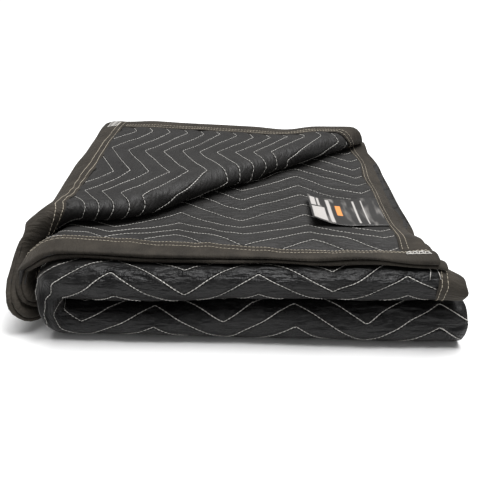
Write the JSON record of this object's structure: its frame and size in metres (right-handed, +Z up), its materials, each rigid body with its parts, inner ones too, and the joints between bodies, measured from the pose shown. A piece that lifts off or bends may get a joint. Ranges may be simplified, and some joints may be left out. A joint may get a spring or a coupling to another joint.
{
  "type": "folded moving blanket",
  "caption": "Quilted moving blanket folded to a thick stack, two rounded folds to the front, one corner turned back, bound edges and a sewn label.",
  "frame": {"origin": "centre of the stack's box, on the surface it rests on", "axes": "+X to the right along the rounded front folds, +Y to the back, +Z up"},
  "size_m": [0.56, 0.4854, 0.1283],
  "materials": {
    "quilted_cloth": "matte woven cloth, near-black navy, zigzag quilted in off-white thread",
    "binding_tape": "matte woven tape, dark olive brown",
    "label_satin": "satin ribbon"
  },
  "bodies": {
    "root": {"quilted_panel": "quilted_cloth", "binding_long_a": "binding_tape", "binding_long_b": "binding_tape", "binding_short_a": "binding_tape", "binding_short_b": "binding_tape", "label": "label_satin"}
  },
  "joints": []
}
